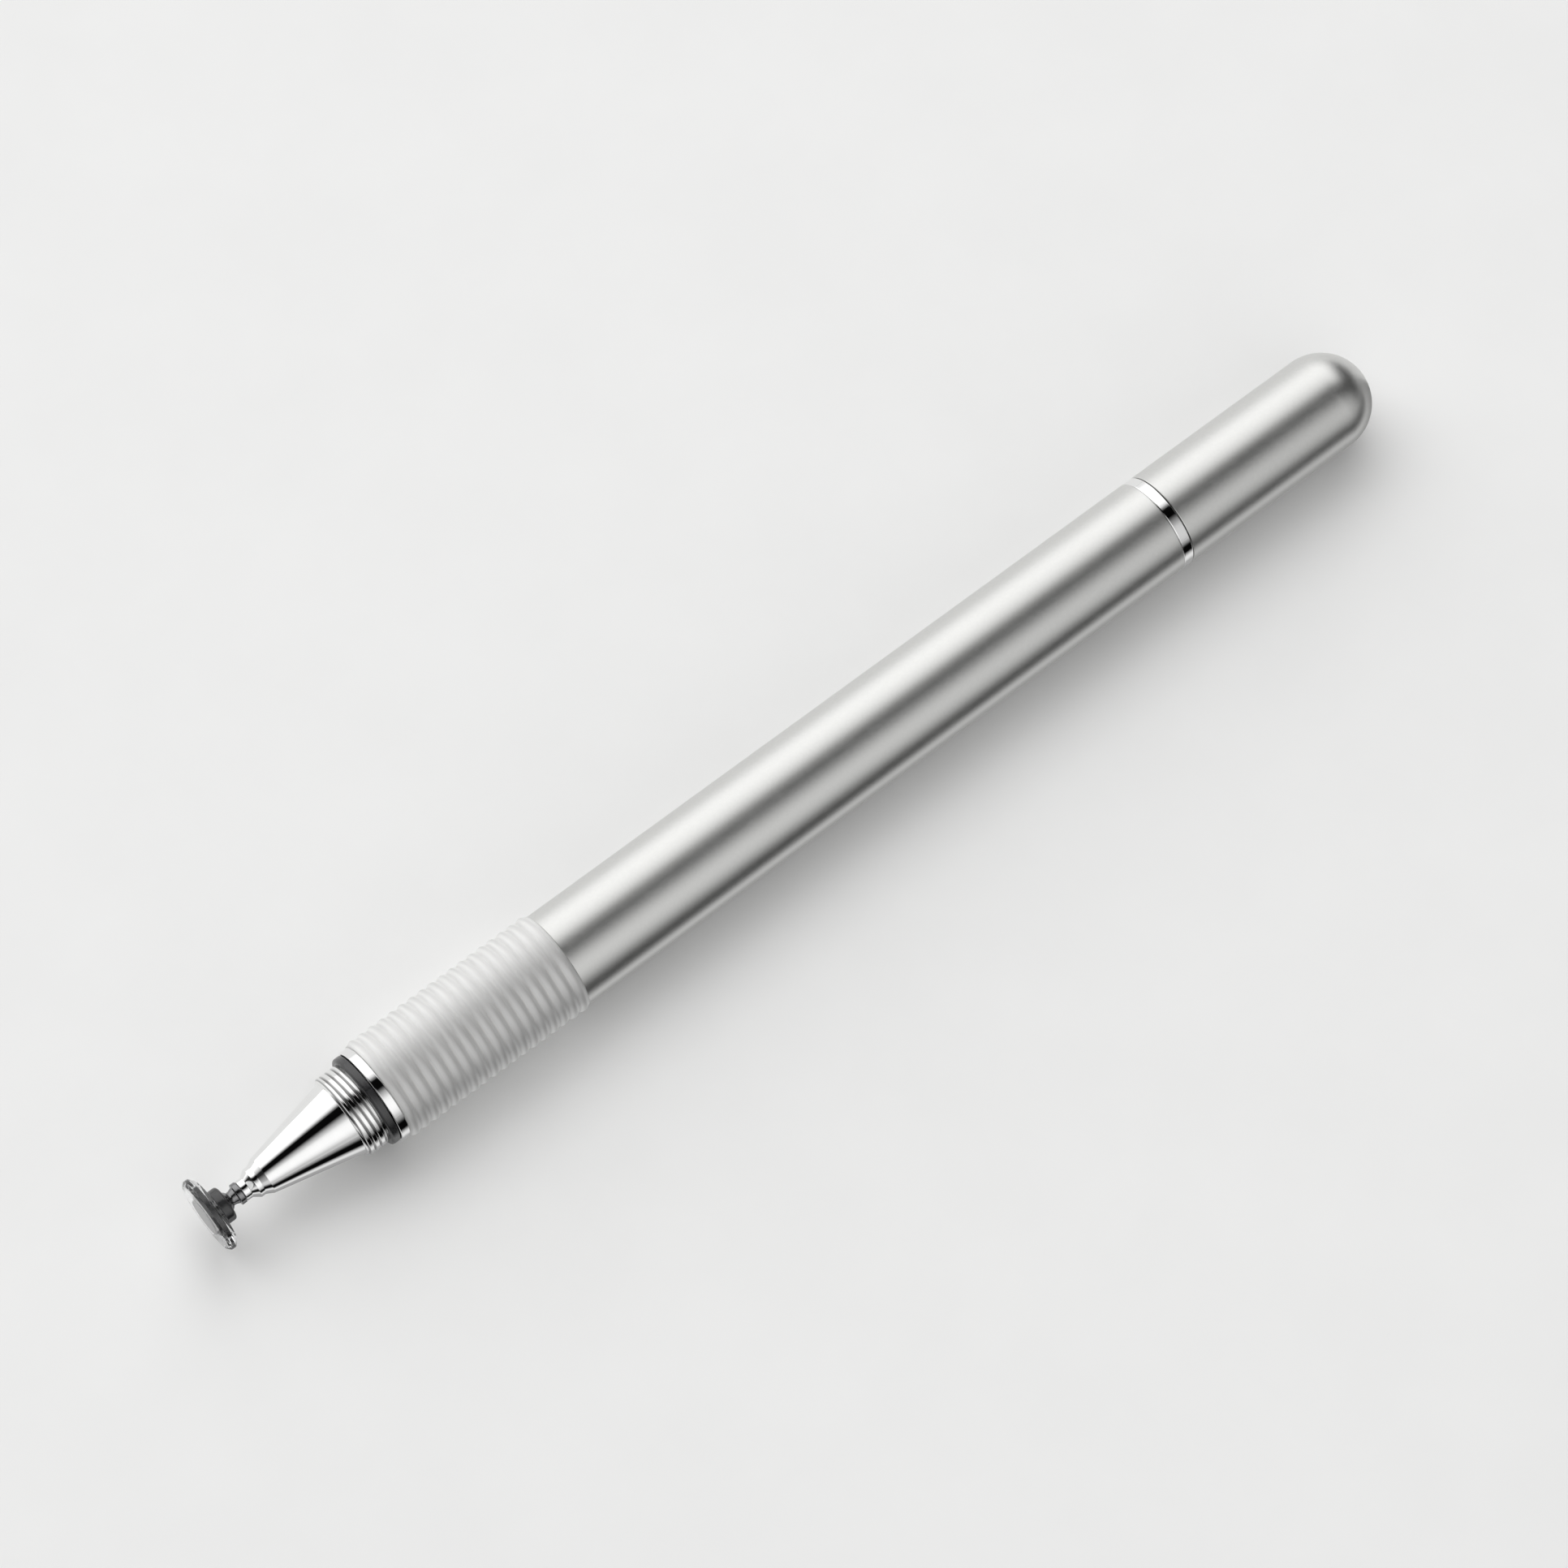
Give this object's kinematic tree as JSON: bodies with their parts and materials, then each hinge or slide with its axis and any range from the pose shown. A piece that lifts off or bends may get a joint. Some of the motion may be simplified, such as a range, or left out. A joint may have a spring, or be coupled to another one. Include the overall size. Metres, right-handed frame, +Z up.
{
  "type": "stylus pen",
  "caption": "Round metal stylus pen with a dark disc tip on a ball joint, a polished threaded nose, a ribbed grip and a domed screw cap over a gel writing point.",
  "frame": {"origin": "under the middle of the pen, on the surface it lies on", "axes": "+X along the pen from the touch disc to the cap, +Z up"},
  "size_m": [0.1292, 0.0098, 0.0098],
  "materials": {
    "satin_aluminium": "satin anodised",
    "grip_aluminium": "fine turned, matt",
    "polished_chrome": "polished plating",
    "stem_steel": "polished",
    "black_rubber": "matt",
    "smoked_plastic": "dark smoked gloss",
    "pad_plastic": "satin, conductive",
    "bush_brass": "as turned",
    "refill_plastic": "translucent",
    "point_steel": "turned"
  },
  "bodies": {
    "pen": {"barrel_tube": "satin_aluminium", "grip_sleeve": "grip_aluminium", "front_ring": "polished_chrome", "front_gasket": "black_rubber", "nose_cone": "polished_chrome", "front_bush": "bush_brass", "rear_bush": "bush_brass", "rear_ring": "polished_chrome", "writing_nose": "polished_chrome", "refill_tube": "refill_plastic", "refill_tip": "point_steel", "writing_ball": "point_steel"},
    "stem": {"ball_stem": "stem_steel", "stem_clip": "stem_steel"},
    "disc": {"stylus_disc": "smoked_plastic", "contact_pad": "pad_plastic"},
    "cap": {"cap_shell": "satin_aluminium"}
  },
  "joints": [
    {"name": "stem_spin", "type": "hinge", "parent": "pen", "child": "stem", "pos_m": [-0.06132, 0, 0.00489], "axis": [1, 0, 0], "continuous": true},
    {"name": "disc_tilt", "type": "hinge", "parent": "stem", "child": "disc", "pos_m": [-0.0628, 0, 0.00489], "axis": [0, 1, 0], "range_deg": [-25, 25]},
    {"name": "cap_pull", "type": "slide", "parent": "pen", "child": "cap", "axis": [1, 0, 0], "range_m": [0, 0.024]}
  ]
}
